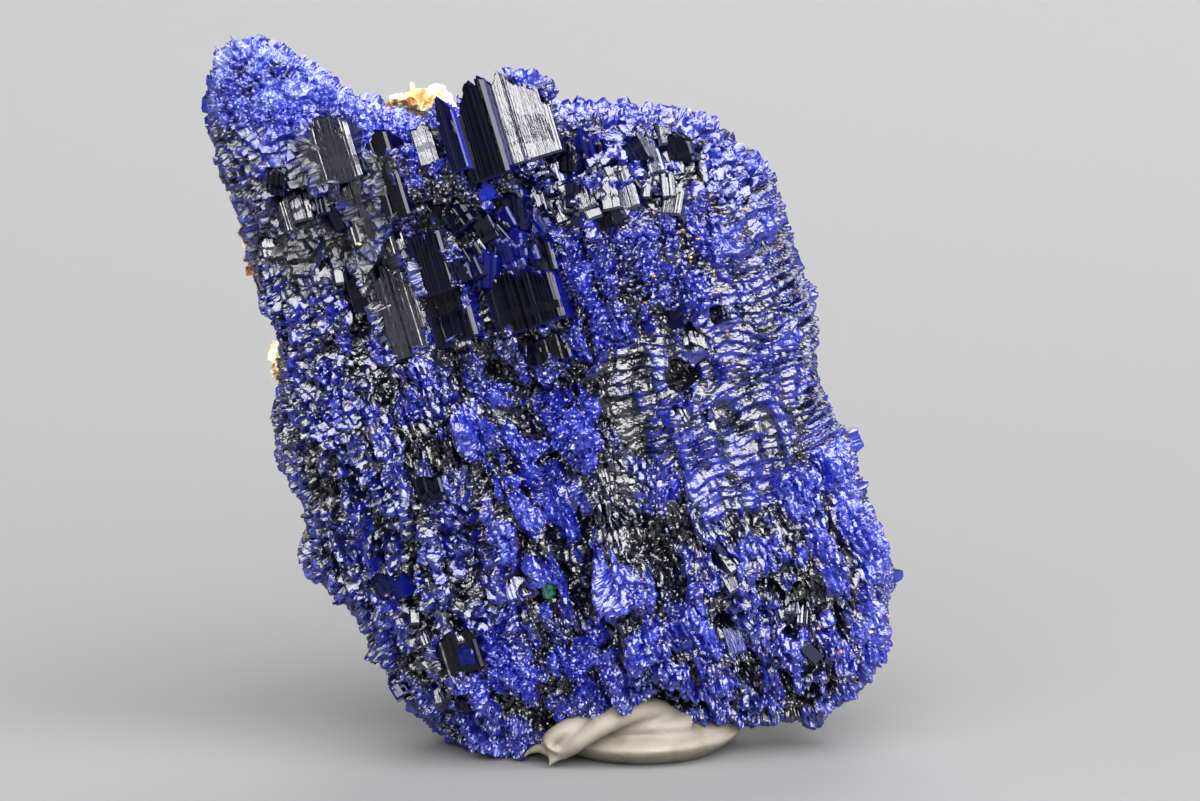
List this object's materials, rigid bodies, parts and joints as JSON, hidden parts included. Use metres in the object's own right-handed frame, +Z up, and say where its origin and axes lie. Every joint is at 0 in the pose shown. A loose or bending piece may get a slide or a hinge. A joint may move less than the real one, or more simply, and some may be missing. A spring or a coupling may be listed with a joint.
{
  "type": "azurite crystal specimen",
  "caption": "Mass of dark blue azurite crystals with striated blades and druse, host rock on its back, standing on a lump of white putty.",
  "frame": {"origin": "on the surface it stands on, under the middle of the whole specimen's box", "axes": "+Z up, -Y out of the showy front face, +X to the right of someone who looks at the front"},
  "size_m": [0.0455, 0.0199, 0.0479],
  "materials": {
    "azurite": "vitreous crystal faces and fine sugary druse",
    "host_rock": "dull, earthy",
    "malachite": "vitreous",
    "putty": "smooth, waxy, slightly translucent"
  },
  "bodies": {
    "root": {"azurite_crystal_mass": "azurite", "host_rock": "host_rock", "malachite_crystal": "malachite", "mounting_putty": "putty"}
  },
  "joints": []
}
